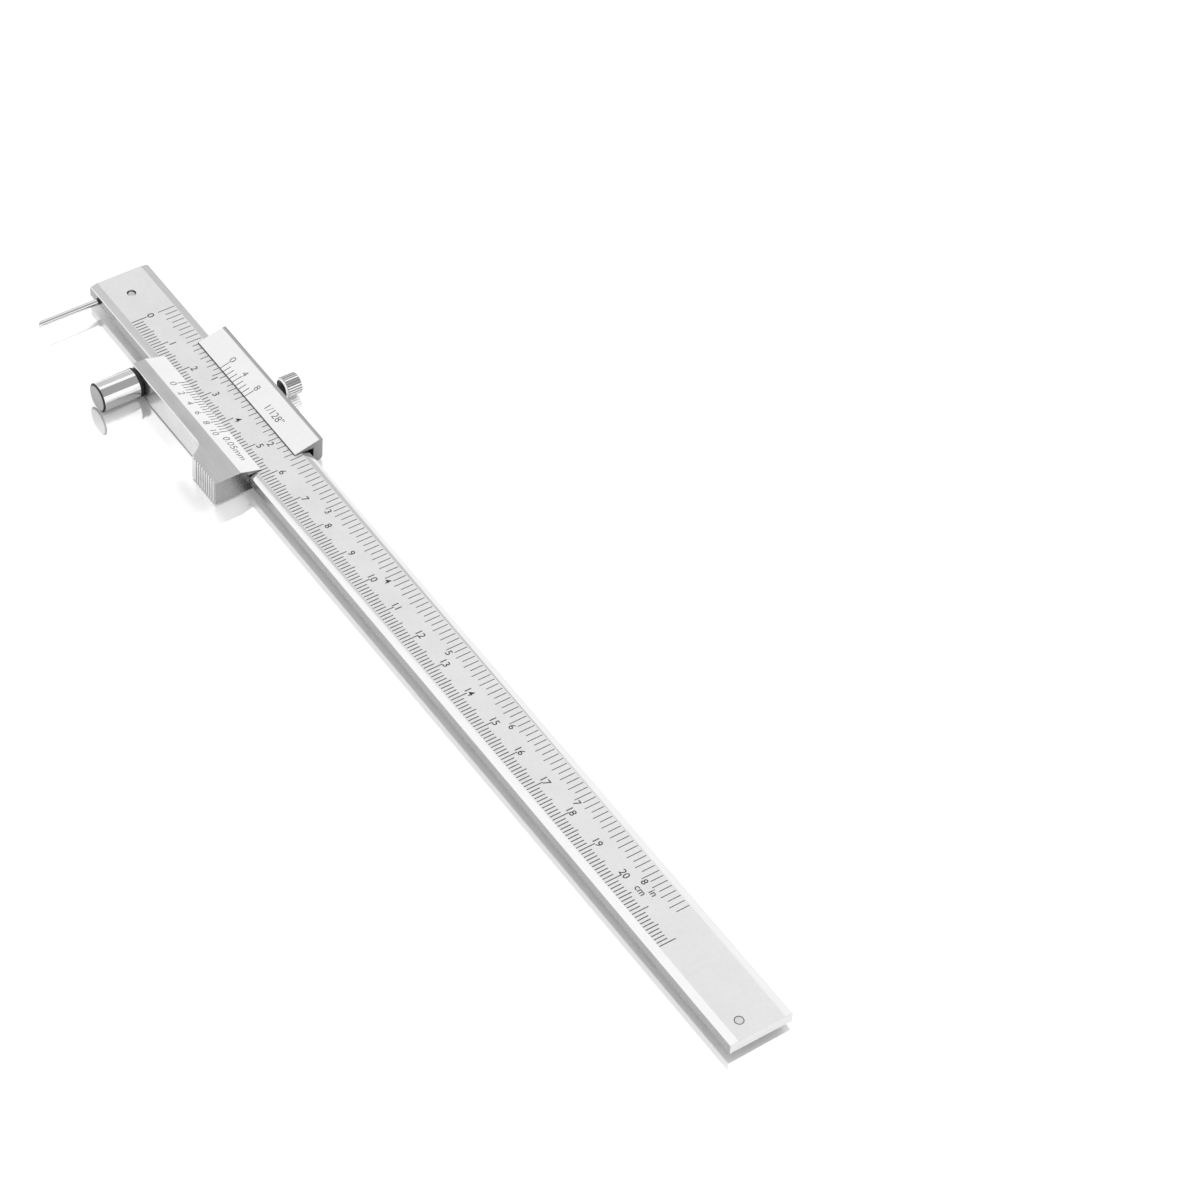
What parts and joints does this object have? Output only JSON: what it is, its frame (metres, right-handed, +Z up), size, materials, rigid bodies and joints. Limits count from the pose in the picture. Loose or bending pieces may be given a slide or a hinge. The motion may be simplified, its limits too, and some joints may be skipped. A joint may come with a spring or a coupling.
{
  "type": "vernier marking gauge",
  "caption": "Flat graduated steel beam with a scriber across its head and a vernier slider that carries a cylindrical guide roller, a thumb pad and a knurled lock screw.",
  "frame": {"origin": "middle of the base of the bounding box, at the height of the guide roller's lowest line", "axes": "+X along the beam from the scriber to the tail, +Y across it towards the lock screw, +Z up through the graduated face"},
  "size_m": [0.265, 0.0434, 0.0074],
  "materials": {
    "satin_beam_steel": "satin chromed stainless steel, matt on the graduated face and ground bright on the long bevels",
    "brushed_slider_steel": "brushed steel, with fine satin on the two vernier bevels",
    "polished_roller_steel": "hardened, ground and polished",
    "needle_steel": "hardened and polished",
    "screw_steel": "plain turned steel",
    "knob_nickel": "bright nickel on a straight knurl",
    "spring_bronze": "dull rolled bronze",
    "black_washer": "matt black"
  },
  "bodies": {
    "beam": {"beam": "satin_beam_steel", "scriber_clamp_screw": "screw_steel", "beam_stop_screw": "screw_steel"},
    "scriber": {"scriber": "needle_steel"},
    "slider": {"slider": "brushed_slider_steel", "roller_bush": "spring_bronze", "thrust_washer": "black_washer", "roller_retaining_screw": "screw_steel", "gib_screw_front": "screw_steel", "gib_screw_rear": "screw_steel"},
    "guide_roller": {"guide_roller": "polished_roller_steel"},
    "gib": {"gib_strip": "spring_bronze"},
    "lock_screw": {"lock_screw": "knob_nickel"}
  },
  "joints": [
    {"name": "slider_travel", "type": "slide", "parent": "beam", "child": "slider", "axis": [1, 0, 0], "range_m": [-0.0234, 0.1843]},
    {"name": "scriber_set", "type": "slide", "parent": "beam", "child": "scriber", "axis": [0, -1, 0], "range_m": [-0.012, 0.006]},
    {"name": "roller_spin", "type": "hinge", "parent": "slider", "child": "guide_roller", "pos_m": [-0.09935, -0.0156, 0.0037], "axis": [0, 1, 0], "continuous": true},
    {"name": "lock_screw_turn", "type": "hinge", "parent": "gib", "child": "lock_screw", "pos_m": [-0.0801, 0.0165, 0.0037], "axis": [0, -1, 0], "range_deg": [0, 90]},
    {"name": "gib_press", "type": "slide", "parent": "slider", "child": "gib", "axis": [0, -1, 0], "range_m": [0, 0.0001125]}
  ],
  "couplings": [
    {"joint": "lock_screw_turn", "follows": "gib_press", "rad_per_m": 13963}
  ]
}
